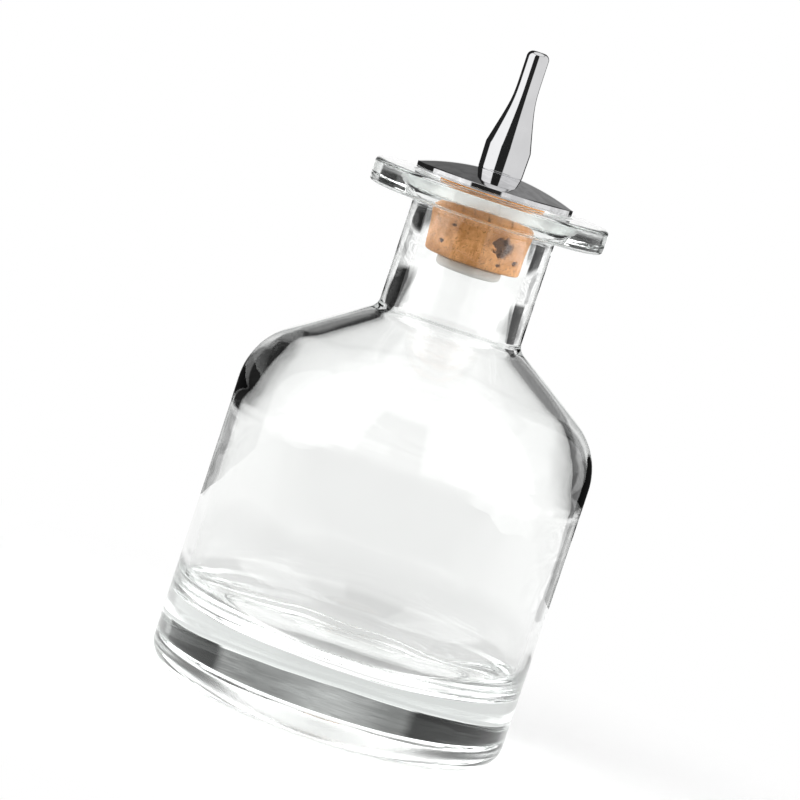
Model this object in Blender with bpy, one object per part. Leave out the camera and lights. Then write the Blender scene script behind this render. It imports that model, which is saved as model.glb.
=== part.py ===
"""A dash bottle: a pressed glass bottle with a wide disc round its flared mouth, and a stopper that lifts out.

The stopper holds a cork sleeve between a domed metal cap and a flanged plastic tube, and a turned metal
spout passes through the cap into the tube. All pieces are turned about +Z. Metres, with the origin at the
middle of the underside. The bottle is looked at from -Y.
"""

import math

import bmesh
import bpy

# Glass bottle, from the base upwards
BODY_RADIUS = 0.0370
BODY_WALL = 0.0021
HEEL_ROUNDING = 0.0048
BEARING_WIDTH = 0.0028
PUSH_UP = 0.0047
PUSH_UP_EDGE = 0.0020
PUSH_UP_ROUNDING = 0.0030
BASE_THICKNESS = 0.0140
FLOOR_ROUNDING = 0.0080
SHOULDER_SLOPE = math.radians(33.4)
SHOULDER_ROUNDING = 0.0148
SHOULDER_WALL = 0.0033
SHOULDER_INNER_ROUNDING = 0.0200
NECK_FOOT_HEIGHT = 0.0820
NECK_FOOT_ROUNDING = 0.0025
NECK_RADIUS = 0.0149
NECK_BORE_RADIUS = 0.0120
MOUTH_HEIGHT = 0.1102
THROAT_RADIUS = 0.0110
THROAT_DEPTH = 0.0038
THROAT_ROUNDING = 0.0025
MOUTH_FLARE = math.radians(42)
MOUTH_ROUNDING = 0.0006
DISC_RADIUS = 0.02445
DISC_THICKNESS = 0.0050
DISC_ROUNDING = 0.0008

# Gaps between neighbouring pieces
FIT_CLEARANCE = 0.0003
CAP_GAP = 0.0004

# Cork sleeve
CORK_LENGTH = 0.0146
CORK_TAPER = 0.0012
CORK_TOP_ROUNDING = 0.0003
CORK_FOOT_ROUNDING = 0.0006

# Domed cap
CAP_RADIUS = 0.0163
CAP_RIM_HEIGHT = 0.00125
CAP_DOME_RISE = 0.0028
CAP_EDGE_ROUNDING = 0.0002
SPOUT_SEAT_MARGIN = 0.0003

# Spout, with heights from its foot on the cap
SPOUT_FOOT_RADIUS = 0.00458
SPOUT_FOOT_ROUNDING = 0.0002
SPOUT_SHOULDER_RADIUS = 0.00470
SPOUT_SHOULDER_HEIGHT = 0.0051
SPOUT_TAPER_TOP_HEIGHT = 0.0194
SPOUT_HEIGHT = 0.0250
SPOUT_TIP_RADIUS = 0.0023
SPOUT_TIP_ROUNDING = 0.0013
SPOUT_BORE_RADIUS = 0.0013
ORIFICE_RADIUS = 0.0008
ORIFICE_LENGTH = 0.0020
SPIGOT_RADIUS = 0.0022
SPIGOT_LENGTH = 0.0050

# Plastic tube under the spout
STEM_RADIUS = 0.0040
STEM_FLANGE_RADIUS = 0.0068
STEM_FLANGE_THICKNESS = 0.0021
STEM_FLANGE_ROUNDING = 0.0010
STEM_EDGE_ROUNDING = 0.0003

# How the spout's taper leans where it leaves the shoulder, and how far its two curve handles reach
TAPER_LEAN = 0.247
TAPER_HANDLE_SHARES = (0.62, 0.36)

# Lenticels in the cork: share of a turn from -Y towards +X, share of the cork's length above its foot,
# then half width and depth as shares of that length
LENTICEL_SHARES = (
    (0.079, 0.36, 0.137, 0.060),
    (0.145, 0.19, 0.046, 0.040),
    (0.083, 0.11, 0.034, 0.034),
    (-0.111, 0.20, 0.041, 0.040),
    (-0.079, 0.46, 0.034, 0.030),
    (0.310, 0.55, 0.062, 0.044),
    (0.520, 0.30, 0.082, 0.050),
    (-0.290, 0.62, 0.048, 0.040),
)

# Fineness of the turned surfaces
BOTTLE_SIDES = 64
CORK_SIDES = 48
CAP_SIDES = 64
SPOUT_SIDES = 32
STEM_SIDES = 32
CURVE_STEPS = 8
CHORD_ERROR = 0.00004
FILLET_LIMIT_SHARE = 0.96
SEAM_MERGE = 0.000001
SHARP_EDGE = math.radians(32)


def principled(name, colour, roughness, metallic=0.0, transmission=0.0, ior=1.5):
    material = bpy.data.materials.new(name)
    material.use_nodes = True
    shader = material.node_tree.nodes["Principled BSDF"]
    shader.inputs["Base Color"].default_value = (*colour, 1.0)
    shader.inputs["Roughness"].default_value = roughness
    shader.inputs["Metallic"].default_value = metallic
    shader.inputs["Transmission Weight"].default_value = transmission
    shader.inputs["IOR"].default_value = ior
    material.diffuse_color = (*colour, 1.0)
    return material


def rounded(corners):
    """The outline through corners of (radius, height, rounding), each replaced by an arc tangent to its sides."""
    outline = []
    for index, (radius, height, rounding) in enumerate(corners):
        if not rounding:
            outline.append((radius, height))
            continue
        before = corners[index - 1]
        after = corners[(index + 1) % len(corners)]
        outline.extend(corner_arc((radius, height), before[:2], after[:2], rounding))
    return outline


def corner_arc(corner, before, after, rounding):
    """Points of the arc that rounds one corner. It never takes more than its share of either side."""
    reach_in = math.dist(corner, before)
    reach_out = math.dist(corner, after)
    inward = [(b - c) / reach_in for b, c in zip(before, corner)]
    outward = [(a - c) / reach_out for a, c in zip(after, corner)]
    opening = math.acos(inward[0] * outward[0] + inward[1] * outward[1])
    tangent = min(rounding / math.tan(opening / 2), FILLET_LIMIT_SHARE * min(reach_in, reach_out))
    arc_radius = tangent * math.tan(opening / 2)
    turn = math.pi - opening
    middle = [i + o for i, o in zip(inward, outward)]
    to_centre = arc_radius / math.sin(opening / 2) / math.hypot(*middle)
    centre = [c + m * to_centre for c, m in zip(corner, middle)]
    start = [c + i * tangent - k for c, i, k in zip(corner, inward, centre)]
    finish = [c + o * tangent - k for c, o, k in zip(corner, outward, centre)]
    sense = math.copysign(1, start[0] * finish[1] - start[1] * finish[0])
    step = 2 * math.acos(1 - min(CHORD_ERROR / arc_radius, 0.5))
    steps = max(2, math.ceil(turn / step))
    points = []
    for number in range(steps + 1):
        angle = sense * turn * number / steps
        x = start[0] * math.cos(angle) - start[1] * math.sin(angle)
        y = start[0] * math.sin(angle) + start[1] * math.cos(angle)
        points.append((centre[0] + x, centre[1] + y))
    return points


def turned(name, outline, sides, material, carrier):
    """A solid turned about +Z from an outline of (radius, height). Its two ends may lie on the axis."""
    shape = bmesh.new()
    points = [shape.verts.new((radius, 0, height)) for radius, height in outline]
    edges = []
    for first, second in zip(points, points[1:] + points[:1]):
        if first.co.x or second.co.x:
            edges.append(shape.edges.new((first, second)))
    bmesh.ops.spin(
        shape,
        geom=points + edges,
        cent=(0, 0, 0),
        axis=(0, 0, 1),
        angle=math.tau,
        steps=sides,
        use_merge=True,
    )
    bmesh.ops.remove_doubles(shape, verts=shape.verts[:], dist=SEAM_MERGE)
    bmesh.ops.recalc_face_normals(shape, faces=shape.faces[:])
    mesh = bpy.data.meshes.new(name)
    shape.to_mesh(mesh)
    shape.free()
    mesh.shade_smooth()
    mesh.set_sharp_from_angle(angle=SHARP_EDGE)
    mesh.materials.append(material)
    piece = bpy.data.objects.new(name, mesh)
    piece.parent = carrier
    bpy.context.scene.collection.objects.link(piece)
    return piece


def carrier_empty(name, height):
    empty = bpy.data.objects.new(name, None)
    empty.location.z = height
    empty.empty_display_size = BODY_RADIUS
    bpy.context.scene.collection.objects.link(empty)
    return empty


def shoulder_height(radius):
    """Height of the shoulder's cone at a radius, on the outside."""
    return NECK_FOOT_HEIGHT - math.tan(SHOULDER_SLOPE) * (radius - NECK_RADIUS)


def mouth_radius():
    """Radius of the flared mouth at the top of the disc."""
    return THROAT_RADIUS + math.tan(MOUTH_FLARE) * THROAT_DEPTH


def make_glass_bottle(carrier):
    inner_radius = BODY_RADIUS - BODY_WALL
    bearing_outside = BODY_RADIUS - HEEL_ROUNDING
    bearing_inside = bearing_outside - BEARING_WIDTH
    shoulder_drop = SHOULDER_WALL / math.cos(SHOULDER_SLOPE)
    disc_underside = MOUTH_HEIGHT - DISC_THICKNESS
    outline = rounded(
        [
            (0, PUSH_UP, 0),
            (bearing_inside - PUSH_UP_EDGE, PUSH_UP, PUSH_UP_ROUNDING),
            (bearing_inside, 0, 0),
            (BODY_RADIUS, 0, HEEL_ROUNDING),
            (BODY_RADIUS, shoulder_height(BODY_RADIUS), SHOULDER_ROUNDING),
            (NECK_RADIUS, NECK_FOOT_HEIGHT, NECK_FOOT_ROUNDING),
            (NECK_RADIUS, disc_underside, DISC_ROUNDING),
            (DISC_RADIUS, disc_underside, DISC_ROUNDING),
            (DISC_RADIUS, MOUTH_HEIGHT, DISC_ROUNDING),
            (mouth_radius(), MOUTH_HEIGHT, MOUTH_ROUNDING),
            (THROAT_RADIUS, MOUTH_HEIGHT - THROAT_DEPTH, THROAT_ROUNDING),
            (
                NECK_BORE_RADIUS,
                shoulder_height(NECK_BORE_RADIUS) - shoulder_drop,
                NECK_FOOT_ROUNDING + SHOULDER_WALL,
            ),
            (
                inner_radius,
                shoulder_height(inner_radius) - shoulder_drop,
                SHOULDER_INNER_ROUNDING,
            ),
            (inner_radius, BASE_THICKNESS, FLOOR_ROUNDING),
            (0, BASE_THICKNESS, 0),
        ]
    )
    glass = principled("clear_glass", (0.93, 0.96, 0.94), 0.02, transmission=1.0, ior=1.52)
    return turned("glass_bottle", outline, BOTTLE_SIDES, glass, carrier)


def cork_top():
    """Height of the cork's top, and of the tube's, above the mouth."""
    return CAP_GAP - FIT_CLEARANCE


def cork_foot():
    return cork_top() - CORK_LENGTH


def cork_top_radius():
    """Radius at the top of a cork that clears the bottle's throat."""
    share_above_throat = (THROAT_DEPTH + cork_top()) / CORK_LENGTH
    return THROAT_RADIUS - FIT_CLEARANCE + CORK_TAPER * share_above_throat


def make_cork(carrier):
    bore = STEM_RADIUS + FIT_CLEARANCE
    foot_radius = cork_top_radius() - CORK_TAPER
    outline = rounded(
        [
            (bore, cork_foot(), CORK_FOOT_ROUNDING),
            (foot_radius, cork_foot(), CORK_FOOT_ROUNDING),
            (cork_top_radius(), cork_top(), CORK_TOP_ROUNDING),
            (bore, cork_top(), CORK_TOP_ROUNDING),
        ]
    )
    bark = principled("cork", (0.62, 0.38, 0.19), 0.85)
    cork = turned("cork", outline, CORK_SIDES, bark, carrier)
    for number, shares in enumerate(LENTICEL_SHARES, start=1):
        cut = cork.modifiers.new(f"lenticel_{number}", "BOOLEAN")
        cut.operation = "DIFFERENCE"
        cut.solver = "EXACT"
        cut.object = make_lenticel_cutter(number, shares, foot_radius, carrier)
    return cork


def make_lenticel_cutter(number, shares, foot_radius, carrier):
    """An ellipsoid centred on the cork's side, flat towards the axis, which leaves one shallow pit."""
    turn_share, height_share, width_share, depth_share = shares
    angle = math.tau * turn_share - math.pi / 2
    radius = foot_radius + CORK_TAPER * height_share
    half_size = (CORK_LENGTH * depth_share, CORK_LENGTH * width_share, CORK_LENGTH * width_share)
    shape = bmesh.new()
    bmesh.ops.create_icosphere(shape, subdivisions=2, radius=1)
    bmesh.ops.scale(shape, vec=half_size, verts=shape.verts)
    mesh = bpy.data.meshes.new(f"lenticel_cutter_{number}")
    shape.to_mesh(mesh)
    shape.free()
    cutter = bpy.data.objects.new(mesh.name, mesh)
    cutter.location.x = radius * math.cos(angle)
    cutter.location.y = radius * math.sin(angle)
    cutter.location.z = cork_foot() + CORK_LENGTH * height_share
    cutter.rotation_euler.z = angle
    cutter.parent = carrier
    cutter.hide_render = True
    cutter.display_type = "WIRE"
    bpy.context.scene.collection.objects.link(cutter)
    return cutter


def dome_sphere_radius():
    return (CAP_RADIUS**2 + CAP_DOME_RISE**2) / (2 * CAP_DOME_RISE)


def dome_height(radius):
    """Height of the cap's dome above the mouth at a radius."""
    sphere = dome_sphere_radius()
    apex = CAP_GAP + CAP_RIM_HEIGHT + CAP_DOME_RISE
    return apex - sphere + math.sqrt(sphere**2 - radius**2)


def spout_seat_radius():
    return SPOUT_FOOT_RADIUS + SPOUT_SEAT_MARGIN


def make_dome_cap(carrier):
    seat_radius = spout_seat_radius()
    hole = SPIGOT_RADIUS + FIT_CLEARANCE
    outline = rounded(
        [
            (hole, CAP_GAP, CAP_EDGE_ROUNDING),
            (CAP_RADIUS, CAP_GAP, CAP_EDGE_ROUNDING),
            (CAP_RADIUS, dome_height(CAP_RADIUS), 0),
        ]
    )
    for number in range(1, CURVE_STEPS + 1):
        radius = CAP_RADIUS + (seat_radius - CAP_RADIUS) * number / CURVE_STEPS
        outline.append((radius, dome_height(radius)))
    outline.append((hole, dome_height(seat_radius)))
    chrome = principled("polished_chrome", (0.80, 0.80, 0.82), 0.06, metallic=1.0)
    return turned("dome_cap", outline, CAP_SIDES, chrome, carrier)


def spout_foot():
    """Height of the spout's foot above the mouth."""
    return dome_height(spout_seat_radius()) + FIT_CLEARANCE


def spout_side(foot):
    """The outside of the spout from its spigot to its slim end."""
    shoulder = foot + SPOUT_SHOULDER_HEIGHT
    taper_top = foot + SPOUT_TAPER_TOP_HEIGHT
    side = rounded(
        [
            (SPIGOT_RADIUS, foot, 0),
            (SPOUT_FOOT_RADIUS, foot, SPOUT_FOOT_ROUNDING),
            (SPOUT_SHOULDER_RADIUS, shoulder, 0),
        ]
    )
    lower_reach, upper_reach = ((taper_top - shoulder) * share for share in TAPER_HANDLE_SHARES)
    handles = (
        (SPOUT_SHOULDER_RADIUS, shoulder),
        (SPOUT_SHOULDER_RADIUS - TAPER_LEAN * lower_reach, shoulder + lower_reach),
        (SPOUT_TIP_RADIUS, taper_top - upper_reach),
        (SPOUT_TIP_RADIUS, taper_top),
    )
    for number in range(1, CURVE_STEPS + 1):
        side.append(bezier(handles, number / CURVE_STEPS))
    return side


def bezier(handles, share):
    weights = (
        (1 - share) ** 3,
        3 * (1 - share) ** 2 * share,
        3 * (1 - share) * share**2,
        share**3,
    )
    return tuple(sum(w * handle[axis] for w, handle in zip(weights, handles)) for axis in (0, 1))


def make_dash_spout(carrier):
    foot = spout_foot()
    tip = foot + SPOUT_HEIGHT
    spigot_end = CAP_GAP - SPIGOT_LENGTH
    bore_top = tip - ORIFICE_LENGTH
    throat = SPOUT_BORE_RADIUS - ORIFICE_RADIUS
    outline = [
        (SPOUT_BORE_RADIUS, spigot_end),
        (SPIGOT_RADIUS, spigot_end),
    ]
    outline += spout_side(foot)
    outline += rounded(
        [
            (SPOUT_TIP_RADIUS, bore_top - throat, 0),
            (SPOUT_TIP_RADIUS, tip, SPOUT_TIP_ROUNDING),
            (ORIFICE_RADIUS, tip, 0),
        ]
    )
    outline += [
        (ORIFICE_RADIUS, bore_top),
        (SPOUT_BORE_RADIUS, bore_top - throat),
    ]
    chrome = principled("turned_chrome", (0.82, 0.82, 0.84), 0.05, metallic=1.0)
    return turned("dash_spout", outline, SPOUT_SIDES, chrome, carrier)


def make_stem_tube(carrier):
    bore = SPIGOT_RADIUS + FIT_CLEARANCE
    flange_top = cork_foot() - FIT_CLEARANCE
    flange_foot = flange_top - STEM_FLANGE_THICKNESS
    outline = rounded(
        [
            (bore, flange_foot, STEM_EDGE_ROUNDING),
            (STEM_FLANGE_RADIUS, flange_foot, STEM_FLANGE_ROUNDING),
            (STEM_FLANGE_RADIUS, flange_top, STEM_EDGE_ROUNDING),
            (STEM_RADIUS, flange_top, STEM_EDGE_ROUNDING),
            (STEM_RADIUS, cork_top(), STEM_EDGE_ROUNDING),
            (bore, cork_top(), STEM_EDGE_ROUNDING),
        ]
    )
    plastic = principled("milky_plastic", (0.78, 0.78, 0.77), 0.35)
    return turned("stem_tube", outline, STEM_SIDES, plastic, carrier)


def main():
    for leftover in list(bpy.data.objects):
        bpy.data.objects.remove(leftover)
    bottle_carrier = carrier_empty("bottle_base", 0)
    stopper_carrier = carrier_empty("stopper_at_mouth", MOUTH_HEIGHT)
    make_glass_bottle(bottle_carrier)
    make_cork(stopper_carrier)
    make_dome_cap(stopper_carrier)
    make_dash_spout(stopper_carrier)
    make_stem_tube(stopper_carrier)


main()
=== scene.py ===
import math

import bpy
import numpy as np
from bpy.props import FloatProperty, FloatVectorProperty, IntProperty, PointerProperty
from bpy.types import Operator, Panel, PropertyGroup
from mathutils import Matrix, Quaternion, Vector, noise


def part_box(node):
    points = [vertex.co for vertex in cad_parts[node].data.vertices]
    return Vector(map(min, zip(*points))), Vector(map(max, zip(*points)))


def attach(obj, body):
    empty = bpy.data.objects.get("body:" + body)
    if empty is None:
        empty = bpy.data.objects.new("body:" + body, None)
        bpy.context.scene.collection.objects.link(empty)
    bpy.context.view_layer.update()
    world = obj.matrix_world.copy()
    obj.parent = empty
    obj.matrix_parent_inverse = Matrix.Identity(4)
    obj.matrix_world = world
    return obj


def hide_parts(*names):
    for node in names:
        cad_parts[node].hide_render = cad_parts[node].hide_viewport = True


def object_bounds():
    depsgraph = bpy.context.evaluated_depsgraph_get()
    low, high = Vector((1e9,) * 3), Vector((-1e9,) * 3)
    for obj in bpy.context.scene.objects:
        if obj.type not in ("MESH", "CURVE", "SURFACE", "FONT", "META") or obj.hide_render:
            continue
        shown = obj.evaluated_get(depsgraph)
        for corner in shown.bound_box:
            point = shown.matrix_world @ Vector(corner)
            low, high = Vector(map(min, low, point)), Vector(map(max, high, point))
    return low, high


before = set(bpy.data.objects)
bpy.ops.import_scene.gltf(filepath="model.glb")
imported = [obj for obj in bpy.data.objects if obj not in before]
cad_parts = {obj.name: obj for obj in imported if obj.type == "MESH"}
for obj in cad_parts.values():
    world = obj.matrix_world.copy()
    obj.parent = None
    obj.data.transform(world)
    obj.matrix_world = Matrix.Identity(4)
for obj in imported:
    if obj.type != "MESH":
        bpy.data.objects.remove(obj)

bl_info = {
    "name": "Dash Bottle",
    "version": (1, 0, 0),
    "blender": (4, 5, 0),
    "location": "3D View > Sidebar > Dash Bottle",
    "description": "Builds a glass dash bottle with a cork, a domed cap and a slim metal spout",
    "category": "Add Mesh",
}

CAD_LOW, CAD_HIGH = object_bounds()
BOTTLE_LOW, BOTTLE_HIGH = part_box("glass_bottle")
CORK_LOW, CORK_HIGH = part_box("cork")
CAP_LOW, CAP_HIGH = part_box("dome_cap")
SPOUT_LOW, SPOUT_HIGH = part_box("dash_spout")
STEM_LOW, STEM_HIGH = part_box("stem_tube")

# For the outlines and meshes of every piece, in metres and radians
SHARP_EDGE = math.radians(38)
NEAR_AXIS = 1e-9
LONGEST_FILLET_SHARE = 0.96
FINE_CHORD = 0.00001


def length(name, description, default):
    """A length in metres for the sidebar."""
    return FloatProperty(name=name, description=description, default=default, unit="LENGTH", precision=5)


def colour(name, description, default):
    """A colour for the sidebar."""
    return FloatVectorProperty(
        name=name, description=description, default=default, subtype="COLOR", min=0, max=1
    )


class BottleSizes(PropertyGroup):
    body_radius: length("Body radius", "Outside radius of the round body", BOTTLE_HIGH.x)
    body_wall: length("Body wall", "Thickness of the body's wall", 0.0021)
    heel_rounding: length("Heel rounding", "Radius of the heel under the body", 0.0048)
    bearing_width: length("Bearing width", "Width of the ring that the bottle stands on", 0.0028)
    push_up: length("Push-up", "Height of the hollow under the base", 0.0047)
    push_up_slope: length("Push-up slope", "Width of the hollow's sloping edge", 0.0020)
    push_up_rounding: length("Push-up rounding", "Radius at the top of the hollow's edge", 0.0030)
    base_thickness: length("Base thickness", "Height of the floor inside", 0.0140)
    floor_rounding: length("Floor rounding", "Radius between the floor and the wall", 0.0080)
    floor_wave: length("Floor wave", "How far the floor rises and falls", 0.0004)
    floor_dome: length("Floor dome", "Rise of the middle of the floor", 0.0008)
    floor_dome_radius: length("Floor dome radius", "Reach of that rise", 0.0170)
    wall_wave: length("Wall wave", "How far the inside of the wall wanders", 0.00015)
    knurl_depth: length("Knurl depth", "Depth of the notches in the bearing ring", 0.00025)
    knurl_count: IntProperty(name="Knurls", description="Notches round the bearing ring", default=160)
    shoulder_slope: FloatProperty(
        name="Shoulder slope",
        description="Fall of the shoulder's cone below level",
        default=math.radians(33.4),
        subtype="ANGLE",
    )
    shoulder_rounding: length("Shoulder rounding", "Radius between shoulder and body", 0.0148)
    shoulder_wall: length("Shoulder wall", "Thickness of the shoulder's wall", 0.0033)
    shoulder_inner_rounding: length("Inner shoulder rounding", "Radius inside the shoulder", 0.0200)
    neck_foot_height: length("Neck foot height", "Where the shoulder's cone meets the neck", 0.0820)
    neck_foot_rounding: length("Neck foot rounding", "Radius between shoulder and neck", 0.0025)
    neck_radius: length("Neck radius", "Outside radius of the neck", 0.0149)
    neck_bore_radius: length("Neck bore radius", "Inside radius at the neck's foot", 0.0120)
    neck_wave: length("Neck wave", "How far the inside of the neck wanders", 0.00010)
    mouth_height: length("Mouth height", "Height of the disc's top", BOTTLE_HIGH.z)
    waist_radius: length("Waist radius", "Inside radius halfway up the neck", 0.01115)
    waist_height: length("Waist height", "Height of the bore's waist", 0.0903)
    swell_radius: length("Swell radius", "Inside radius above the waist", 0.01145)
    swell_height: length("Swell height", "Height of the bore's swelling", 0.1000)
    bore_rounding: length("Bore rounding", "Radius of the bore's gentle waves", 0.0600)
    throat_radius: length("Throat radius", "Inside radius where the mouth starts to flare", 0.0110)
    throat_height: length("Throat height", "Height where the mouth starts to flare", 0.1064)
    throat_rounding: length("Throat rounding", "Radius between the bore and the flare", 0.0025)
    mouth_flare: FloatProperty(
        name="Mouth flare",
        description="Lean of the flared mouth from upright",
        default=math.radians(42),
        subtype="ANGLE",
    )
    mouth_rounding: length("Mouth rounding", "Radius of the mouth's edge", 0.0006)
    disc_radius: length("Disc radius", "Radius of the disc round the mouth", 0.02445)
    disc_thickness: length("Disc thickness", "Thickness of the disc", 0.0050)
    disc_rounding: length("Disc rounding", "Radius of the disc's edges", 0.0008)
    tint: colour("Glass tint", "What is left of white light in thick glass", (0.62, 0.84, 0.74))
    tint_density: FloatProperty(name="Tint density", description="Tint for each metre of glass", default=1.8)


class StopperSizes(PropertyGroup):
    cork_taper: length("Cork taper", "How much slimmer the cork's foot is, in radius", 0.0012)
    cork_rounding: length("Cork rounding", "Radius of the cork's lower edge", 0.0006)
    cork_light: colour("Cork light", "Light grain of the cork", (0.80, 0.405, 0.165))
    cork_dark: colour("Cork dark", "Dark grain of the cork", (0.46, 0.20, 0.06))
    # Inside of the pits and pores: partly the cork's own dark, partly painted shade in the hollows
    cork_pit_and_shade: colour("Cork pit", "Inside of the cork's pits", (0.130, 0.060, 0.024))
    cap_rim_height: length("Cap rim height", "Height of the cap's upright rim", 0.00125)
    cap_dome_rise: length("Cap dome rise", "Height of the dome above the rim", 0.0028)
    cap_edge_rounding: length("Cap edge rounding", "Radius of the cap's edges", 0.00015)
    chrome: colour("Chrome", "Reflected colour of the plate", (0.80, 0.80, 0.81))
    spout_foot_radius: length("Spout foot radius", "Radius of the spout on the cap", 0.00458)
    spout_belly_radius: length("Spout belly radius", "Widest radius of the spout", 0.00470)
    spout_shoulder_height: length("Spout shoulder height", "Height where the taper starts", 0.0051)
    spout_taper_top: length("Spout taper top", "Height where the taper ends", 0.0194)
    spout_tip_radius: length("Spout tip radius", "Radius of the slim end", 0.0023)
    orifice_radius: length("Orifice radius", "Radius of the hole in the tip", 0.0008)
    spigot_radius: length("Spigot radius", "Radius of the spout inside the tube", 0.0022)
    spout_bore_radius: length("Spout bore radius", "Radius of the bore through the spout", 0.0013)
    stem_radius: length("Tube radius", "Outside radius of the plastic tube", 0.0040)
    stem_bore_radius: length("Tube bore radius", "Inside radius of the plastic tube", 0.0025)
    stem_flange: length("Flange thickness", "Thickness of the tube's flange", 0.0021)
    plastic: colour("Plastic", "Colour of the plastic tube", (0.88, 0.85, 0.80))


class StageSettings(PropertyGroup):
    camera_distance: length("Camera distance", "From the bottle's axis", 0.840)
    camera_height: length("Camera height", "Above the floor", 0.1549)
    aim_height: length("Aim height", "Height of the point the camera looks at", 0.0649)
    camera_side: length("Camera side", "Sideways place of the camera and its aim", -0.0047)
    camera_roll: FloatProperty(
        name="Camera roll",
        description="Roll that leans the bottle to the right",
        default=math.radians(18.3),
        subtype="ANGLE",
    )
    camera_lens: FloatProperty(name="Lens", description="Focal length", default=189.4, unit="CAMERA")
    floor_radius: length("Floor radius", "Radius of the table top", 0.545)
    floor_back: length("Floor back", "From the bottle's axis to the table's rear edge", 0.24)
    floor_fade_start: length("Fade start", "Where the floor starts to fade to white", 0.050)
    floor_fade_end: length("Fade end", "Where the floor is plain white", 0.150)
    light_level: FloatProperty(name="Light level", description="Strength of the even light", default=0.75)


def rounded(corners, chord=FINE_CHORD):
    """The outline through corners of (radius, height, rounding), each corner an arc tangent to its sides.

    A rounding of 0 keeps the corner. The chord is how far an arc's sides may stand off it.
    """
    outline = []
    for index, (radius, height, rounding) in enumerate(corners):
        if not rounding:
            outline.append((radius, height))
            continue
        corner = Vector((radius, height))
        before = Vector(corners[index - 1][:2]) - corner
        after = Vector(corners[(index + 1) % len(corners)][:2]) - corner
        opening = before.angle(after)
        longest = LONGEST_FILLET_SHARE * min(before.length, after.length)
        tangent = min(rounding / math.tan(opening / 2), longest)
        arc_radius = tangent * math.tan(opening / 2)
        start = corner + before.normalized() * tangent
        finish = corner + after.normalized() * tangent
        middle = (before.normalized() + after.normalized()).normalized()
        centre = corner + middle * arc_radius / math.sin(opening / 2)
        turn = math.pi - opening
        steps = max(3, math.ceil(turn / (2 * math.acos(1 - min(chord / arc_radius, 0.5)))))
        sense = math.copysign(1, (start - centre).cross(finish - centre))
        spoke = start - centre
        for number in range(steps + 1):
            angle = sense * turn * number / steps
            x = spoke.x * math.cos(angle) - spoke.y * math.sin(angle)
            y = spoke.x * math.sin(angle) + spoke.y * math.cos(angle)
            outline.append((centre.x + x, centre.y + y))
    return outline


def divided(outline, step, closed):
    """The outline with its long straight stretches divided, so that no side is longer than the step."""
    fine = []
    pairs = zip(outline, outline[1:] + outline[:1]) if closed else zip(outline, outline[1:])
    for first, second in pairs:
        count = max(1, math.ceil(math.dist(first, second) / step))
        for number in range(count):
            share = number / count
            fine.append(tuple(a + (b - a) * share for a, b in zip(first, second)))
    return fine if closed else fine + [outline[-1]]


def turned(name, outline, sides, shape=None):
    """A mesh object turned about +Z from (radius, height) points. Ends on the axis become poles.

    shape(radius, angle, height) may move a point: it returns its new (radius, height).
    """
    vertices, faces, rings = [], [], []
    for radius, height in outline:
        count = 1 if radius < NEAR_AXIS else sides
        rings.append(range(len(vertices), len(vertices) + count))
        for number in range(count):
            angle = math.tau * number / sides
            r, z = shape(radius, angle, height) if shape else (radius, height)
            vertices.append((r * math.cos(angle), r * math.sin(angle), z))
    closed = len(rings[0]) > 1 and len(rings[-1]) > 1
    for lower, upper in zip(rings, rings[1:] + rings[:1] if closed else rings[1:]):
        for number in range(sides):
            after = (number + 1) % sides
            if len(lower) == 1:
                faces.append((lower[0], upper[after], upper[number]))
            elif len(upper) == 1:
                faces.append((lower[number], lower[after], upper[0]))
            else:
                faces.append((lower[number], lower[after], upper[after], upper[number]))
    mesh = bpy.data.meshes.new(name)
    mesh.from_pydata(vertices, [], faces)
    mesh.validate()
    mesh.shade_smooth()
    mesh.set_sharp_from_angle(angle=SHARP_EDGE)
    piece = bpy.data.objects.new(name, mesh)
    bpy.context.scene.collection.objects.link(piece)
    return piece


def waves(point, size, seed, depth=2):
    """Smooth noise from -1 to 1 at a point, for bumps of about the given size."""
    return noise.fractal(Vector(point) / size + Vector((seed, -seed, seed)), 1.0, 2.0, depth)


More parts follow.
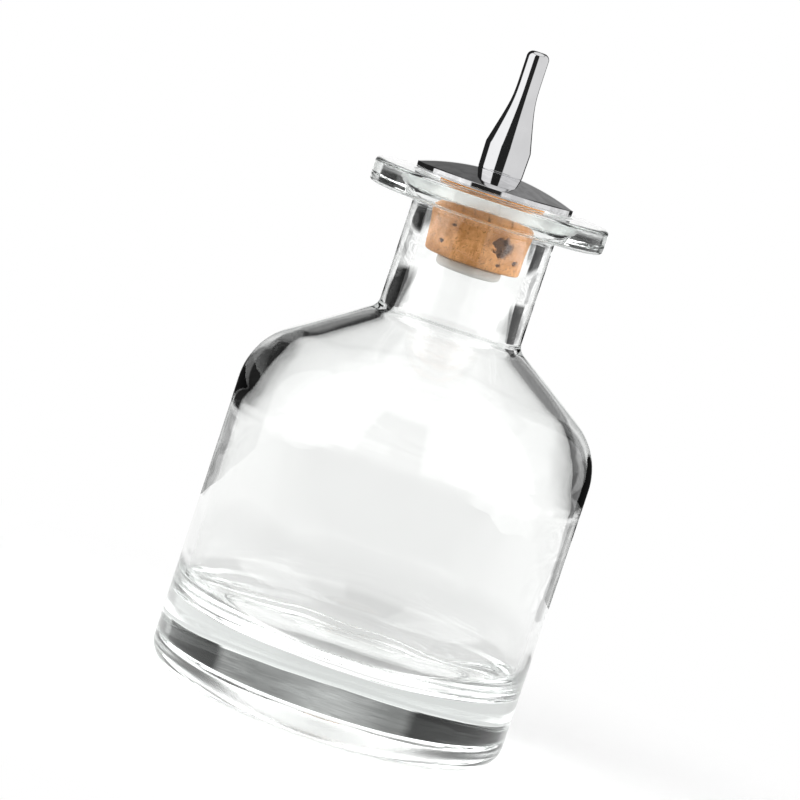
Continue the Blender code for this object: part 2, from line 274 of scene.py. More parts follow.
class Shader:
    """A node tree being built: add() makes a node, and its inputs take numbers, colours or sockets."""

    def __init__(self, owner):
        owner.use_nodes = True
        self.tree = owner.node_tree
        self.tree.nodes.clear()

    def add(self, kind, out=0, **settings):
        node = self.tree.nodes.new("ShaderNode" + kind)
        inputs = settings.pop("inputs", {})
        for name, value in settings.items():
            setattr(node, name, value)
        for key, value in inputs.items():
            socket = node.inputs[key]
            if isinstance(value, bpy.types.NodeSocket):
                self.tree.links.new(value, socket)
            elif socket.type == "RGBA" and len(value) == 3:
                socket.default_value = (*value, 1)
            else:
                socket.default_value = value
        return node.outputs[out]

    def math(self, operation, *values):
        return self.add("Math", operation=operation, inputs=dict(enumerate(values)))

    def product(self, first, *others):
        """All the values multiplied together."""
        for other in others:
            first = self.math("MULTIPLY", first, other)
        return first

    def scaled(self, vector, factors):
        """A vector with each of its parts multiplied by a factor of its own."""
        return self.add("VectorMath", operation="MULTIPLY", inputs={0: vector, 1: factors})

    def size_of(self, vector):
        """The length of a vector."""
        return self.add("VectorMath", operation="LENGTH", out="Value", inputs={0: vector})

    def ramp(self, value, low, high, start=0, end=1):
        """A smooth step of a value between low and high."""
        return self.add(
            "MapRange",
            interpolation_type="SMOOTHSTEP",
            inputs={"Value": value, "From Min": low, "From Max": high, "To Min": start, "To Max": end},
        )

    def between(self, factor, first, second):
        """A number between two others."""
        return self.add("Mix", inputs={0: factor, 2: first, 3: second})

    def mix(self, factor, first, second):
        """A colour between two others."""
        node = self.tree.nodes.new("ShaderNodeMix")
        node.data_type = "RGBA"
        for socket, value in zip((node.inputs[0], node.inputs[6], node.inputs[7]), (factor, first, second)):
            if isinstance(value, bpy.types.NodeSocket):
                self.tree.links.new(value, socket)
            elif socket.type == "RGBA":
                socket.default_value = (*value, 1)
            else:
                socket.default_value = value
        return node.outputs[2]

    def place(self):
        """The point on the piece, in metres."""
        return self.add("TexCoord", out="Object")

    def parts(self, vector):
        """The three numbers of a vector."""
        node = self.tree.nodes.new("ShaderNodeSeparateXYZ")
        self.tree.links.new(vector, node.inputs[0])
        return node.outputs

    def height(self):
        """The point's height on the piece, in metres."""
        return self.parts(self.place())[2]

    def light_path(self):
        """What kind of ray sees the surface, by name."""
        return self.tree.nodes.new("ShaderNodeLightPath").outputs

    def noise(self, scale, detail=2, roughness=0.5, vector=None, out="Fac"):
        vector = vector or self.place()
        inputs = {"Vector": vector, "Scale": scale, "Detail": detail, "Roughness": roughness}
        return self.add("TexNoise", out=out, inputs=inputs)

    def bump(self, height, strength, distance, normal=None):
        """A relief from a height map, over an earlier relief if one is given."""
        inputs = {"Height": height, "Strength": strength, "Distance": distance}
        if normal:
            inputs["Normal"] = normal
        return self.add("Bump", inputs=inputs)

    def output(self, surface, volume=None, kind="OutputMaterial"):
        node = self.tree.nodes.new("ShaderNode" + kind)
        self.tree.links.new(surface, node.inputs["Surface"])
        if volume:
            self.tree.links.new(volume, node.inputs["Volume"])


def new_material(name):
    """A material and the shader that fills it."""
    material = bpy.data.materials.new(name)
    return material, Shader(material)


# Where the glass is worked: heights and distances from the axis in metres, each from none to all of it
DISC_LINES_HEIGHT = (0.1055, 0.1060)
GROUND_HEIGHT = (0.1064, 0.1072)
GROUND_REACH = (0.0169, 0.0164)
GROUND_ROUGHNESS = 0.32
STIPPLED_INNER_REACH = (0.0262, 0.0270)
STIPPLED_OUTER_REACH = (0.0326, 0.0322)
STIPPLED_HEIGHT = (0.0045, 0.0035)
STIPPLED_ROUGHNESS = 0.25
SMUDGE_ROUGHNESS = 0.012


def glass_material(sizes):
    """Pressed clear glass: rippled, lined round the disc, ground in the mouth, stippled at the foot."""
    material, shader = new_material("clear_glass")
    height = shader.height()
    reach = shader.size_of(shader.scaled(shader.place(), (1, 1, 0)))
    ripple = shader.noise(scale=55, detail=2, roughness=0.4)
    skin = shader.noise(scale=900, detail=1)
    smudge = shader.noise(scale=40, detail=4)
    round_the_disc = shader.scaled(shader.place(), (0.06, 0.06, 1))
    lines = shader.noise(scale=1100, detail=2, roughness=0.5, vector=round_the_disc)
    lines = shader.product(lines, shader.ramp(height, *DISC_LINES_HEIGHT))
    normal = shader.bump(ripple, strength=0.25, distance=0.0004)
    normal = shader.bump(skin, strength=0.008, distance=0.00002, normal=normal)
    normal = shader.bump(lines, strength=1.0, distance=0.00002, normal=normal)
    ground = shader.product(
        shader.ramp(height, *GROUND_HEIGHT), shader.ramp(reach, *GROUND_REACH), GROUND_ROUGHNESS
    )
    stippled = shader.product(
        shader.ramp(reach, *STIPPLED_INNER_REACH),
        shader.ramp(reach, *STIPPLED_OUTER_REACH),
        shader.ramp(height, *STIPPLED_HEIGHT),
        STIPPLED_ROUGHNESS,
    )
    smudged = shader.ramp(smudge, 0.3, 0.8, start=0.0, end=SMUDGE_ROUGHNESS)
    surface = shader.add(
        "BsdfPrincipled",
        inputs={
            "Base Color": shader.mix(smudge, (0.965, 0.97, 0.965), (0.985, 0.99, 0.985)),
            "Roughness": shader.math("MAXIMUM", smudged, shader.math("MAXIMUM", ground, stippled)),
            "IOR": 1.52,
            "Transmission Weight": 1.0,
            "Normal": normal,
        },
    )
    tint = {"Color": tuple(sizes.tint), "Density": sizes.tint_density}
    shader.output(surface, shader.add("VolumeAbsorption", inputs=tint))
    return material


# Scale of the turning lines, scale of the smears, and how far the smears change the tone
CAP_PLATE = (3000, 380, 0.14)
SPOUT_PLATE = (5000, 120, 0.03)


def chrome_material(name, sizes, turning, smear_scale, mottle):
    """Bright plate with faint turning lines about the axis and mottled, slightly duller smears."""
    material, shader = new_material(name)
    smear = shader.noise(smear_scale, detail=5, roughness=0.6)
    up_the_axis = shader.add("CombineXYZ", inputs={"Z": shader.height()})
    rings = shader.noise(turning, detail=2, roughness=0.6, vector=up_the_axis)
    dull = tuple(c * (1 - mottle) for c in sizes.chrome)
    bright = tuple(min(1, c * (1 + mottle)) for c in sizes.chrome)
    surface = shader.add(
        "BsdfPrincipled",
        inputs={
            "Base Color": shader.mix(shader.ramp(smear, 0.36, 0.66), dull, bright),
            "Metallic": 1.0,
            "Roughness": shader.ramp(smear, 0.3, 0.75, start=0.025, end=0.075),
            "Normal": shader.bump(rings, strength=0.05, distance=0.00002),
        },
    )
    shader.output(surface)
    return material


def cork_material(sizes):
    """Ground cork: light and dark grain, fine speckle, short upright pores and dark pits, whose dark is
    partly the cork's own and partly painted shade.
    """
    material, shader = new_material("cork")
    # hollow is the pit colour: partly the cork's own dark, partly painted shade
    light, dark, hollow = tuple(sizes.cork_light), tuple(sizes.cork_dark), tuple(sizes.cork_pit_and_shade)
    place = shader.place()
    warp = shader.noise(scale=160, detail=3, roughness=0.6, vector=place, out="Color")
    bend = {0: warp, 1: (0.004, 0.004, 0.004), 2: place}
    bent = shader.add("VectorMath", operation="MULTIPLY_ADD", inputs=bend)
    upright = shader.scaled(bent, (1, 1, 0.35))
    broad = shader.noise(scale=190, detail=4, roughness=0.6, vector=bent)
    grain = shader.noise(scale=900, detail=4, roughness=0.7, vector=upright)
    speckle = shader.noise(scale=2000, detail=3, roughness=0.6, vector=bent)
    porous = shader.noise(scale=330, detail=2, roughness=0.5, vector=bent)
    cells = {"Vector": upright, "Scale": 620, "Randomness": 1}
    pores = shader.add("TexVoronoi", feature="F1", inputs=cells)
    pores = shader.product(shader.ramp(pores, 0.20, 0.08), shader.ramp(porous, 0.50, 0.62))
    pit = shader.add("Attribute", out="Fac", attribute_name="pit")
    ragged_pit = shader.math("ADD", pit, shader.product(shader.math("SUBTRACT", grain, 0.5), 0.8))
    tone = shader.mix(shader.ramp(broad, 0.30, 0.70), dark, light)
    tone = shader.mix(shader.ramp(grain, 0.42, 0.66, start=0, end=0.55), tone, dark)
    tone = shader.mix(shader.ramp(speckle, 0.56, 0.66, start=0, end=0.65), tone, tuple(c * 0.5 for c in dark))
    tone = shader.mix(shader.product(pores, 0.8), tone, hollow)
    tone = shader.mix(shader.ramp(ragged_pit, 0.25, 0.75, start=0, end=0.92), tone, hollow)
    relief = shader.math("SUBTRACT", shader.math("ADD", grain, shader.product(speckle, 0.5)), pores)
    surface = shader.add(
        "BsdfPrincipled",
        inputs={
            "Base Color": tone,
            "Roughness": shader.ramp(grain, 0.3, 0.7, start=0.62, end=0.85),
            "Specular IOR Level": 0.15,
            "Normal": shader.bump(relief, strength=0.5, distance=0.00018),
        },
    )
    shader.output(surface)
    return material


def plastic_material(sizes):
    """Milky moulded plastic, a little cloudy, that lets some light through."""
    material, shader = new_material("milky_plastic")
    cloud = shader.noise(scale=260, detail=4, roughness=0.6)
    grain = shader.noise(scale=2500, detail=2)
    dark = tuple(c * 0.86 for c in sizes.plastic)
    surface = shader.add(
        "BsdfPrincipled",
        inputs={
            "Base Color": shader.mix(shader.ramp(cloud, 0.3, 0.7), dark, tuple(sizes.plastic)),
            "Roughness": shader.ramp(cloud, 0.3, 0.7, start=0.28, end=0.42),
            "IOR": 1.5,
            "Transmission Weight": 0.25,
            "Normal": shader.bump(grain, strength=0.1, distance=0.00005),
        },
    )
    shader.output(surface)
    return material


def finish_piece(piece, material, body, node):
    """Give a piece its material and the body that it rides on, and hide the CAD solid that it stands in for.
    """
    piece.data.materials.append(material)
    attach(piece, body)
    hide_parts(node)


# The bottle's mesh: longest side of its outline and sides for each knurl
BOTTLE_STEP = 0.0016
SIDES_PER_KNURL = 4
# Where a point of the outline lies: on the floor that it stands on, on an inside surface
ON_FLOOR = 1e-7
ON_SURFACE = 1e-6
# Where the neck's bore stops wandering, below the cork's top, and the neck's least wall there
SMOOTH_BORE_DEPTH = 0.004
LEAST_NECK_WALL = 0.001
# Sizes of the waves in the glass, in metres
KNURL_WAVE_SIZE = 0.0015
FLOOR_WAVE_SIZES = (0.019, 0.007)
WALL_WAVE_SIZE = 0.022
NECK_WAVE_SIZE = 0.008


def shoulder_height(sizes, radius):
    """Height of the shoulder's outer cone at a radius."""
    return sizes.neck_foot_height - math.tan(sizes.shoulder_slope) * (radius - sizes.neck_radius)


def bottle_outline(sizes):
    """The outline from the middle of the underside, round the outside and down inside to the floor."""
    inner_radius = sizes.body_radius - sizes.body_wall
    bearing_outside = sizes.body_radius - sizes.heel_rounding
    bearing_inside = bearing_outside - sizes.bearing_width
    shoulder_drop = sizes.shoulder_wall / math.cos(sizes.shoulder_slope)
    disc_underside = sizes.mouth_height - sizes.disc_thickness
    throat_depth = sizes.mouth_height - sizes.throat_height
    mouth_radius = sizes.throat_radius + math.tan(sizes.mouth_flare) * throat_depth
    return divided(
        rounded(
            [
                (0, sizes.push_up, 0),
                (bearing_inside - sizes.push_up_slope, sizes.push_up, sizes.push_up_rounding),
                (bearing_inside, 0, 0),
                (sizes.body_radius, 0, sizes.heel_rounding),
                (sizes.body_radius, shoulder_height(sizes, sizes.body_radius), sizes.shoulder_rounding),
                (sizes.neck_radius, sizes.neck_foot_height, sizes.neck_foot_rounding),
                (sizes.neck_radius, disc_underside, sizes.disc_rounding),
                (sizes.disc_radius, disc_underside, sizes.disc_rounding),
                (sizes.disc_radius, sizes.mouth_height, sizes.disc_rounding),
                (mouth_radius, sizes.mouth_height, sizes.mouth_rounding),
                (sizes.throat_radius, sizes.throat_height, sizes.throat_rounding),
                (sizes.swell_radius, sizes.swell_height, sizes.bore_rounding),
                (sizes.waist_radius, sizes.waist_height, sizes.bore_rounding),
                (
                    sizes.neck_bore_radius,
                    shoulder_height(sizes, sizes.neck_bore_radius) - shoulder_drop,
                    sizes.neck_foot_rounding + sizes.shoulder_wall,
                ),
                (
                    inner_radius,
                    shoulder_height(sizes, inner_radius) - shoulder_drop,
                    sizes.shoulder_inner_rounding,
                ),
                (inner_radius, sizes.base_thickness, sizes.floor_rounding),
                (0, sizes.base_thickness, 0),
            ]
        ),
        BOTTLE_STEP,
        closed=False,
    )


class DASHBOTTLE_OT_glass_bottle(Operator):
    """Turn the glass bottle, with its wavy floor, uneven wall and knurled bearing ring"""

    bl_idname = "dashbottle.glass_bottle"
    bl_label = "Glass Bottle"

    def execute(self, context):
        sizes = context.scene.dash_bottle
        inner_radius = sizes.body_radius - sizes.body_wall
        bearing_outside = sizes.body_radius - sizes.heel_rounding
        bearing_inside = bearing_outside - sizes.bearing_width
        broad, fine = FLOOR_WAVE_SIZES

        def shape(radius, angle, height):
            point = (radius * math.cos(angle), radius * math.sin(angle), height)
            if height < ON_FLOOR and bearing_inside < radius < bearing_outside:
                tooth = 0.5 - 0.5 * math.cos(angle * sizes.knurl_count)
                ragged = 0.5 + 0.5 * waves(point, KNURL_WAVE_SIZE, 3)
                return radius, sizes.knurl_depth * tooth * ragged
            inside = radius < inner_radius + ON_SURFACE and height > sizes.base_thickness - ON_SURFACE
            if inside and height < sizes.base_thickness + sizes.floor_rounding:
                share = min(1, (inner_radius - radius) / sizes.floor_rounding)
                lift = waves(point, broad, 7, 1) + 0.25 * waves(point, fine, 11, 1)
                rise = sizes.floor_dome * max(0, 1 - (radius / sizes.floor_dome_radius) ** 2) ** 2
                return radius, height + sizes.floor_wave * lift * share + rise
            if inside and height < sizes.neck_foot_height:
                return radius + sizes.wall_wave * waves(point, WALL_WAVE_SIZE, 5), height
            in_bore = radius < sizes.neck_radius - LEAST_NECK_WALL
            if in_bore and height < CORK_HIGH.z - SMOOTH_BORE_DEPTH:
                return radius + sizes.neck_wave * waves(point, NECK_WAVE_SIZE, 9), height
            return radius, height

        sides = sizes.knurl_count * SIDES_PER_KNURL
        piece = turned("bottle_glass", bottle_outline(sizes), sides, shape)
        finish_piece(piece, glass_material(sizes), "bottle", "glass_bottle")
        return {"FINISHED"}


# The cork's pits: turn from -Y towards +X and height as shares, then half width, half height and depth,
# in metres
CORK_PITS = (
    (0.079, 0.37, 0.0023, 0.0022, 0.0011),
    (0.145, 0.19, 0.0007, 0.0006, 0.0006),
    (0.083, 0.11, 0.0005, 0.0004, 0.0004),
    (-0.111, 0.20, 0.0006, 0.0005, 0.0005),
    (-0.079, 0.46, 0.0005, 0.0003, 0.0004),
    (0.310, 0.55, 0.0009, 0.0007, 0.0006),
    (0.520, 0.30, 0.0012, 0.0008, 0.0007),
    (-0.290, 0.62, 0.0007, 0.0006, 0.0005),
)
# How ragged the pits are, how fast they darken (partly painted shade) and deepen inwards, the ground surface,
# and the mesh
PIT_RAGGEDNESS = 0.55
PIT_WAVE_SIZE = 0.0010
PIT_TONE_STEEPNESS = 2.2
PIT_DEPTH_STEEPNESS = 1.6
CORK_GRAIN_DEPTH = 0.00005
CORK_GRAIN_SIZE = 0.0007
CORK_BORE_CLEARANCE = 0.0002
CORK_STEP = 0.0002
CORK_SIDES = 360


class DASHBOTTLE_OT_cork(Operator):
    """Turn the cork sleeve, and sink its pits and its ground surface into it"""

    bl_idname = "dashbottle.cork"
    bl_label = "Cork"

    def execute(self, context):
        sizes = context.scene.dash_stopper
        top_radius = CORK_HIGH.x
        foot_radius = top_radius - sizes.cork_taper
        foot, top = CORK_LOW.z, CORK_HIGH.z
        bore = sizes.stem_radius + CORK_BORE_CLEARANCE
        outline = rounded(
            [
                (bore, foot, sizes.cork_rounding),
                (foot_radius, foot, sizes.cork_rounding),
                (top_radius, top, sizes.cork_rounding / 2),
                (bore, top, sizes.cork_rounding / 2),
            ]
        )
        pits = []

        def shape(radius, angle, height):
            point = (radius * math.cos(angle), radius * math.sin(angle), height)
            depth = 0
            pit_share = 0
            if radius > bore + sizes.cork_rounding:
                for turn, level, half_width, half_height, pit_depth in CORK_PITS:
                    pit_angle = math.tau * turn - math.pi / 2
                    across = math.remainder(angle - pit_angle, math.tau) * radius / half_width
                    along = (height - foot - level * (top - foot)) / half_height
                    ragged = PIT_RAGGEDNESS * waves(point, PIT_WAVE_SIZE, 13, 3)
                    inside = 1 - (across**2 + along**2) + ragged
                    if inside > 0:
                        pit_share = max(pit_share, min(1, inside * PIT_TONE_STEEPNESS))
                        depth = max(depth, pit_depth * min(1, inside * PIT_DEPTH_STEEPNESS))
                depth += CORK_GRAIN_DEPTH * (1 + waves(point, CORK_GRAIN_SIZE, 17, 3))
            pits.append(pit_share)
            return radius - depth, height

        piece = turned("cork_sleeve", divided(outline, CORK_STEP, closed=True), CORK_SIDES, shape)
        attribute = piece.data.attributes.new("pit", "FLOAT", "POINT")
        attribute.data.foreach_set("value", np.array(pits, np.float32))
        finish_piece(piece, cork_material(sizes), "stopper", "cork")
        return {"FINISHED"}


# The cap's hole round the spigot, how many edge roundings wide its edge is, and its mesh
CAP_HOLE_CLEARANCE = 0.0001
CAP_EDGE_WIDTHS = 4
CAP_CHORD = 0.000002
CAP_RINGS = 60
CAP_SIDES = 256


def dome_height(sizes, radius):
    """Height of the cap's dome, which is part of a sphere, at a radius."""
    sphere = (CAP_HIGH.x**2 + sizes.cap_dome_rise**2) / (2 * sizes.cap_dome_rise)
    apex = CAP_LOW.z + sizes.cap_rim_height + sizes.cap_dome_rise
    return apex - sphere + math.sqrt(sphere**2 - radius**2)


class DASHBOTTLE_OT_dome_cap(Operator):
    """Turn the domed metal cap that rests on the bottle's disc"""

    bl_idname = "dashbottle.dome_cap"
    bl_label = "Dome Cap"

    def execute(self, context):
        sizes = context.scene.dash_stopper
        radius = CAP_HIGH.x
        hole = sizes.spigot_radius + CAP_HOLE_CLEARANCE
        rim_top = dome_height(sizes, radius)
        edge = radius - CAP_EDGE_WIDTHS * sizes.cap_edge_rounding
        outline = rounded(
            [
                (hole, CAP_LOW.z, 0),
                (radius, CAP_LOW.z, sizes.cap_edge_rounding),
                (radius, rim_top, sizes.cap_edge_rounding),
                (edge, dome_height(sizes, edge), 0),
            ],
            chord=CAP_CHORD,
        )
        for number in range(1, CAP_RINGS + 1):
            ring = edge + (hole - edge) * number / CAP_RINGS
            outline.append((ring, dome_height(sizes, ring)))
        piece = turned("cap_dome", outline, CAP_SIDES)
        plate = chrome_material("cap_chrome", sizes, *CAP_PLATE)
        finish_piece(piece, plate, "stopper", "dome_cap")
        return {"FINISHED"}


# The spout's sizes that aren't offered in the sidebar, in metres, and its mesh
SPOUT_HEIGHT = 0.0250
FOOT_GAP = 0.00005
FOOT_ROUNDING = 0.00025
TAPER_LEAN = 0.247
TAPER_HANDLE_SHARES = (0.62, 0.36)
TIP_STRAIGHT = 0.0030
TIP_ROUNDING = 0.0013
ORIFICE_ROUNDING = 0.0001
ORIFICE_LENGTH = 0.0020
BORE_TOP_DEPTH = 0.0026
SPOUT_CHORD = 0.000003
TIP_CHORD = 0.000004
SPOUT_STEP = 0.0003
TAPER_STEPS = 48
SPOUT_SIDES = 192


def bezier(handles, share):
    """The point at a share of the way along a curve with four handles."""
    weights = (
        (1 - share) ** 3,
        3 * (1 - share) ** 2 * share,
        3 * (1 - share) * share**2,
        share**3,
    )
    return tuple(sum(w * handle[axis] for w, handle in zip(weights, handles)) for axis in (0, 1))


class DASHBOTTLE_OT_dash_spout(Operator):
    """Turn the slim metal spout, its bore, the hole in its tip and the spigot under the cap"""

    bl_idname = "dashbottle.dash_spout"
    bl_label = "Dash Spout"

    def execute(self, context):
        sizes = context.scene.dash_stopper
        foot = dome_height(sizes, sizes.spout_foot_radius) - FOOT_GAP
        tip = SPOUT_HIGH.z
        base = tip - SPOUT_HEIGHT
        shoulder = base + sizes.spout_shoulder_height
        taper_top = base + sizes.spout_taper_top
        shoulder_radius = sizes.spout_belly_radius
        side = rounded(
            [
                (sizes.spigot_radius, foot, 0),
                (sizes.spout_foot_radius, foot, FOOT_ROUNDING),
                (shoulder_radius, shoulder, 0),
            ],
            chord=SPOUT_CHORD,
        )
        side = divided(side, SPOUT_STEP, closed=False)
        taper_length = taper_top - shoulder
        low_share, high_share = TAPER_HANDLE_SHARES
        handles = (
            (shoulder_radius, shoulder),
            (
                shoulder_radius - TAPER_LEAN * taper_length * low_share,
                shoulder + taper_length * low_share,
            ),
            (sizes.spout_tip_radius, taper_top - taper_length * high_share),
            (sizes.spout_tip_radius, taper_top),
        )
        for number in range(1, TAPER_STEPS + 1):
            side.append(bezier(handles, number / TAPER_STEPS))
        outline = [
            (sizes.spout_bore_radius, SPOUT_LOW.z),
            (sizes.spigot_radius, SPOUT_LOW.z),
        ]
        outline += side
        outline += rounded(
            [
                (sizes.spout_tip_radius, tip - TIP_STRAIGHT, 0),
                (sizes.spout_tip_radius, tip, TIP_ROUNDING),
                (sizes.orifice_radius, tip, ORIFICE_ROUNDING),
                (sizes.orifice_radius, tip - ORIFICE_LENGTH, 0),
                (sizes.spout_bore_radius, tip - BORE_TOP_DEPTH, 0),
            ],
            chord=TIP_CHORD,
        )
        piece = turned("spout_metal", outline, SPOUT_SIDES)
        plate = chrome_material("spout_chrome", sizes, *SPOUT_PLATE)
        finish_piece(piece, plate, "stopper", "dash_spout")
        return {"FINISHED"}


# The tube's roundings, in metres, and its mesh
TUBE_ROUNDING = 0.0003
FLANGE_ROUNDING = 0.0010
TUBE_STEP = 0.001
TUBE_SIDES = 128


class DASHBOTTLE_OT_stem_tube(Operator):
    """Turn the milky plastic tube with the flange that holds the cork"""

    bl_idname = "dashbottle.stem_tube"
    bl_label = "Stem Tube"

    def execute(self, context):
        sizes = context.scene.dash_stopper
        flange_top = STEM_LOW.z + sizes.stem_flange
        outline = rounded(
            [
                (sizes.stem_bore_radius, STEM_LOW.z, TUBE_ROUNDING),
                (STEM_HIGH.x, STEM_LOW.z, FLANGE_ROUNDING),
                (STEM_HIGH.x, flange_top, TUBE_ROUNDING),
                (sizes.stem_radius, flange_top, TUBE_ROUNDING),
                (sizes.stem_radius, STEM_HIGH.z, TUBE_ROUNDING),
                (sizes.stem_bore_radius, STEM_HIGH.z, TUBE_ROUNDING),
            ]
        )
        piece = turned("stem_plastic", divided(outline, TUBE_STEP, closed=True), TUBE_SIDES)
        finish_piece(piece, plastic_material(sizes), "stopper", "stem_tube")
        return {"FINISHED"}


class Sky:
    """A light level by direction round the bottle, in degrees.

    Azimuth 0 is the camera's side and 90 the picture's right. Elevation 0 is level and 90 straight up.
    """

    def __init__(self, shader):
        self.shader = shader
        self.direction = shader.add("TexCoord", out="Generated")
        x, y, z = shader.parts(self.direction)
        self.azimuth = shader.math("DEGREES", shader.math("ARCTAN2", x, shader.math("MULTIPLY", y, -1)))
        self.elevation = shader.math("DEGREES", shader.math("ARCSINE", z))

    def window(self, value, low, high, soft):
        """1 where a value lies from low to high, falling to 0 over the softness on either side."""
        rise = self.shader.ramp(value, low - soft, low + soft)
        fall = self.shader.ramp(value, high - soft, high + soft, 1, 0)
        return self.shader.math("MULTIPLY", rise, fall)

    def patch(self, level, left, right, bottom, top, value, soft):
        """The level with a patch of another value laid over it."""
        across = self.window(self.azimuth, left, right, soft)
        upright = self.window(self.elevation, bottom, top, min(soft, SOFTEST_ELEVATION))
        return self.shader.between(self.shader.product(across, upright), level, value)

    def patched(self, level, patches):
        """The level with a list of patches laid over it in turn."""
        for patch in patches:
            level = self.patch(level, *patch)
        return level


# The sky's patches, each laid over the ones before: left, right, bottom and top in degrees, the light level
# (1 is white), and the softness of the edges in degrees
SOFTEST_ELEVATION = 3
# What metal sees
METAL_SKY = (
    (-200, 200, 8, 95, 0.14, 1.5),
    (20, 200, 8, 95, 0.25, 1.5),
    (-170, -102, -12, 70, 0.02, 1.5),
    (144, 170, -12, 70, 0.02, 1.5),
    (-102, -34, -12, 50, 1.10, 1.5),
    (11, 144, -12, 50, 0.80, 1.5),
    (-34, 11, -12, 95, 0.02, 1.5),
    (-200, 200, 55, 95, 0.90, 3),
)
# What is seen through glass
GLASS_SKY = (
    (-200, 200, -5, 95, 1.12, 3),
    (-102, 100, 10, 80, 4.4, 3),
    (-50, 40, 10, 80, 2.0, 10),
    (-102, -60, -5.5, 10, 2.2, 6),
    (-60, 52, -5.5, 10, 0.5, 6),
    (52, 100, -5.5, 10, 3.2, 6),
    (-34, 11, -5.5, 60, 0.05, 2),
    (-167, -100, 3, 60, 0.30, 6),
    (100, 165, 3, 60, 0.35, 7),
    (-157, -110, -1.5, 60, 0.03, 3),
    (121, 151, -1.5, 24, 0.03, 2),
)
# What is laid over that where the light has crossed solid glass alone, and not the hollow inside
SOLID_SKY = (
    (-200, -90, 7, 24, 0.22, 1.5),
    (90, 200, 7, 24, 0.29, 1.5),
    (-200, -171, 9, 24, 0.54, 8),
    (174, 200, 9, 24, 0.54, 8),
    (-161, -110, -4, 60, 0.02, 2),
    (121, 152, -4, 24, 0.02, 2),
    (-165, -145, -8.3, -5.5, 0.45, 1.5),
    (145, 160, -8.3, -5.5, 0.45, 1.5),
)
# Faint level streaks in what solid glass sees: the stretch of their noise, its range, and the levels' range
STREAK_STRETCH = (4, 4, 160)
STREAKS = (0.3, 0.7, 0.75, 1.25)
# Light that has crossed solid glass alone has passed at most two of its surfaces
SOLID_SURFACES = 2.5


def make_world(settings):
    """White to the camera, an even light for matt surfaces, and a studio's bands for metal and glass."""
    world = bpy.data.worlds.new("studio")
    shader = Shader(world)
    sky = Sky(shader)
    path = shader.light_path()
    metal = sky.patched(1.0, METAL_SKY)
    glass = sky.patched(1.0, GLASS_SKY)
    stretched = shader.scaled(sky.direction, STREAK_STRETCH)
    streaks = shader.ramp(shader.noise(scale=1, detail=3, roughness=0.6, vector=stretched), *STREAKS)
    solid = shader.product(sky.patched(glass, SOLID_SKY), streaks)
    is_solid = shader.math("LESS_THAN", path["Transmission Depth"], SOLID_SURFACES)
    # Sharp glass counts as glossy too, so what it sees is laid over what metal sees
    level = shader.between(path["Is Glossy Ray"], settings.light_level, metal)
    level = shader.between(path["Is Transmission Ray"], level, shader.between(is_solid, glass, solid))
    level = shader.between(path["Is Camera Ray"], level, 1.0)
    shader.output(shader.add("Background", inputs={"Color": level, "Strength": 1.0}), kind="OutputWorld")
    bpy.context.scene.world = world


# The floor's light level as metal and glass see it. Each is (from, to, level there, level here), over the
# distance from the bottle's axis or over the depth behind it, in metres
FRONT_IN_METAL = (-0.15, 0.05, 0.3, 1.0)
# A painted shadow: the floor's glow is darker near the bottle as glass sees it
NEAR_IN_GLASS = (0.08, 0.12, 0.78, 0.91)
FAR_IN_GLASS = (0.20, 0.25, 0.0, 0.07)
FRONT_IN_GLASS = (-0.15, -0.05, 0.35, 1.0)
# A clouded painted shadow under the bottle as glass sees it: an oval's scale and offset, its edge and its
# clouds
SHADE_SCALE = (33, 62, 0)
SHADE_OFFSET = (-0.27, 0.8, 0)
SHADE_EDGE = (1.0, 0.6, 0, 0.5)
SHADE_CLOUDS = 0.8
CLOUD_STRETCH = (0.5, 2, 1)
# The bright floor close to the bottle as its disc pipes it, through solid glass alone: painted light in the
# floor's glow
PIPED_REACH = (0.062, 0.055)
PIPED_GAIN = 2.2
FLOOR_SIDES = 96
FLOOR_GAP = 0.00005


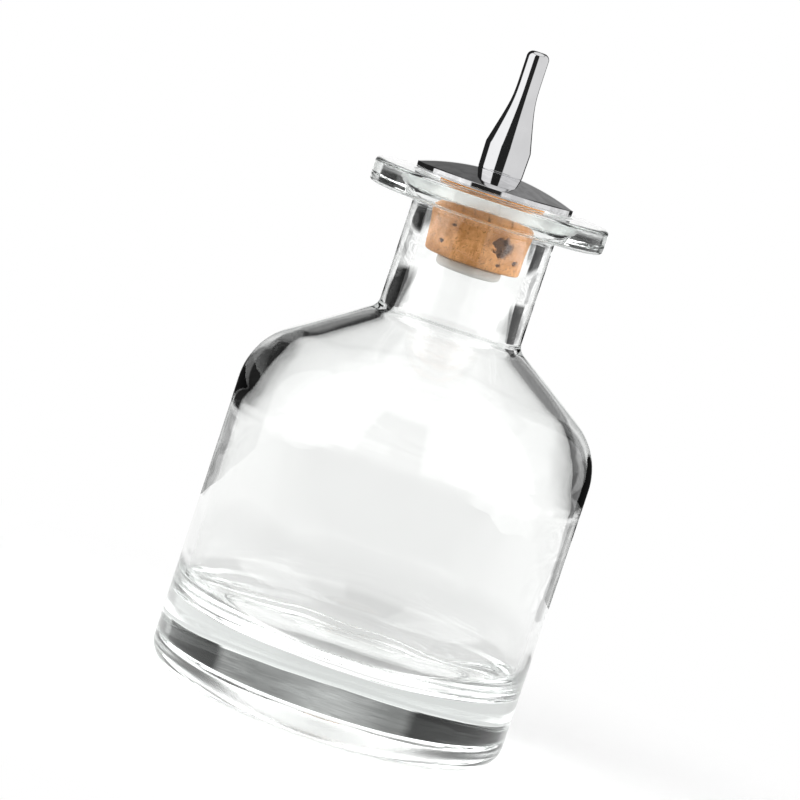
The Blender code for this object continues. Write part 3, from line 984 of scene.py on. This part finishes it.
def make_floor(settings):
    """A pale table top that keeps the bottle's shadow and fades to white for the camera. To metal and glass
    it glows, with a painted shadow and painted light near the bottle.
    """
    piece = turned("floor", [(0, 0), (settings.floor_radius, 0)], FLOOR_SIDES)
    piece.data.transform(Matrix.Translation((0, settings.floor_back - settings.floor_radius, 0)))
    piece.location.z = CAD_LOW.z - FLOOR_GAP
    material, shader = new_material("floor_white")
    path = shader.light_path()
    reach = shader.size_of(shader.place())
    depth = shader.parts(shader.place())[1]
    oval = {0: shader.place(), 1: SHADE_SCALE, 2: SHADE_OFFSET}
    shade = shader.size_of(shader.add("VectorMath", operation="MULTIPLY_ADD", inputs=oval))
    stretched = shader.scaled(shader.place(), CLOUD_STRETCH)
    clouds = shader.noise(scale=90, detail=3, roughness=0.6, vector=stretched)
    clouds = shader.math("MULTIPLY_ADD", clouds, SHADE_CLOUDS, -SHADE_CLOUDS / 2)
    shade = shader.ramp(shader.math("ADD", shade, clouds), *SHADE_EDGE)
    is_solid = shader.math("LESS_THAN", path["Transmission Depth"], SOLID_SURFACES)
    piped = shader.product(is_solid, shader.ramp(reach, *PIPED_REACH))
    in_glass = shader.math("ADD", shader.ramp(reach, *NEAR_IN_GLASS), shader.ramp(reach, *FAR_IN_GLASS))
    in_glass = shader.math("SUBTRACT", in_glass, shade)
    in_glass = shader.product(in_glass, shader.ramp(depth, *FRONT_IN_GLASS))
    in_glass = shader.product(in_glass, shader.math("MULTIPLY_ADD", piped, PIPED_GAIN, 1.0))
    strength = shader.between(path["Is Glossy Ray"], 1.0, shader.ramp(depth, *FRONT_IN_METAL))
    strength = shader.between(path["Is Transmission Ray"], strength, in_glass)
    white = shader.add("Emission", inputs={"Color": (1, 1, 1), "Strength": strength})
    grain = shader.mix(shader.noise(scale=200, detail=3), (0.90, 0.90, 0.90), (0.92, 0.92, 0.92))
    matt = {"Base Color": grain, "Roughness": 0.9, "Specular IOR Level": 0.0}
    matt = shader.add("BsdfPrincipled", inputs=matt)
    fade = shader.ramp(reach, settings.floor_fade_start, settings.floor_fade_end)
    seen = shader.math("MAXIMUM", path["Is Glossy Ray"], path["Is Transmission Ray"])
    seen = shader.math("MAXIMUM", seen, shader.product(path["Is Camera Ray"], fade))
    shader.output(shader.add("MixShader", inputs={0: seen, 1: matt, 2: white}))
    piece.data.materials.append(material)


# Name, place, width and height, and watts of each soft box
SOFT_BOXES = (
    ("left_soft_box", (-0.55, -0.35, 0.35), (0.5, 0.6), 3.0),
    ("right_soft_box", (0.65, -0.20, 0.30), (0.5, 0.6), 2.4),
)
SOFT_BOX_AIM = Vector((0, 0, 0.08))
GLASS_BOUNCES = 24
METAL_BOUNCES = 12


def make_lamp(name, place, size, watts):
    """A soft box that lights matt surfaces only. Metal and glass see the studio's own light."""
    lamp = bpy.data.lights.new(name, "AREA")
    lamp.shape = "RECTANGLE"
    lamp.size, lamp.size_y = size
    lamp.energy = watts
    lamp_object = bpy.data.objects.new(name, lamp)
    lamp_object.location = place
    lamp_object.rotation_mode = "QUATERNION"
    aim = SOFT_BOX_AIM - Vector(place)
    lamp_object.rotation_quaternion = aim.to_track_quat("-Z", "Y")
    lamp_object.visible_glossy = False
    lamp_object.visible_transmission = False
    lamp_object.visible_camera = False
    bpy.context.scene.collection.objects.link(lamp_object)


def make_camera(settings):
    """The camera in front of the bottle, rolled so that the bottle leans."""
    camera = bpy.data.cameras.new("camera")
    camera.lens = settings.camera_lens
    camera.sensor_width = 36
    camera.clip_start = 0.01
    place = Vector((settings.camera_side, -settings.camera_distance, settings.camera_height))
    aim = Vector((settings.camera_side, 0, settings.aim_height)) - place
    camera_object = bpy.data.objects.new("camera", camera)
    camera_object.location = place
    camera_object.rotation_mode = "QUATERNION"
    roll = Quaternion((0, 0, 1), settings.camera_roll)
    camera_object.rotation_quaternion = aim.to_track_quat("-Z", "Y") @ roll
    bpy.context.scene.collection.objects.link(camera_object)
    bpy.context.scene.camera = camera_object


class DASHBOTTLE_OT_stage(Operator):
    """Make the pale floor, the studio light and the camera"""

    bl_idname = "dashbottle.stage"
    bl_label = "Stage"

    def execute(self, context):
        settings = context.scene.dash_stage
        make_floor(settings)
        make_world(settings)
        for soft_box in SOFT_BOXES:
            make_lamp(*soft_box)
        make_camera(settings)
        context.scene.view_settings.view_transform = "Standard"
        context.scene.cycles.max_bounces = GLASS_BOUNCES
        context.scene.cycles.transmission_bounces = GLASS_BOUNCES
        context.scene.cycles.glossy_bounces = METAL_BOUNCES
        context.scene.cycles.blur_glossy = 0
        return {"FINISHED"}


PIECE_OPERATORS = (
    DASHBOTTLE_OT_glass_bottle,
    DASHBOTTLE_OT_cork,
    DASHBOTTLE_OT_dome_cap,
    DASHBOTTLE_OT_dash_spout,
    DASHBOTTLE_OT_stem_tube,
    DASHBOTTLE_OT_stage,
)


class DASHBOTTLE_PT_panel(Panel):
    """Sidebar panel that lists the pieces and the stage"""

    bl_label = "Dash Bottle"
    bl_space_type = "VIEW_3D"
    bl_region_type = "UI"
    bl_category = "Dash Bottle"

    def draw(self, context):
        for operator in PIECE_OPERATORS:
            self.layout.operator(operator.bl_idname)
        for group in (context.scene.dash_bottle, context.scene.dash_stopper, context.scene.dash_stage):
            box = self.layout.box()
            for name in group.__annotations__:
                box.prop(group, name)


GROUPS = {"dash_bottle": BottleSizes, "dash_stopper": StopperSizes, "dash_stage": StageSettings}
CLASSES = (*GROUPS.values(), *PIECE_OPERATORS, DASHBOTTLE_PT_panel)


def register():
    for cls in CLASSES:
        bpy.utils.register_class(cls)
    for name, group in GROUPS.items():
        setattr(bpy.types.Scene, name, PointerProperty(type=group))


def unregister():
    for name in GROUPS:
        delattr(bpy.types.Scene, name)
    for cls in reversed(CLASSES):
        bpy.utils.unregister_class(cls)


def main():
    register()
    bpy.ops.dashbottle.glass_bottle()
    bpy.ops.dashbottle.cork()
    bpy.ops.dashbottle.dome_cap()
    bpy.ops.dashbottle.dash_spout()
    bpy.ops.dashbottle.stem_tube()
    bpy.ops.dashbottle.stage()


if __name__ == "__main__":
    main()
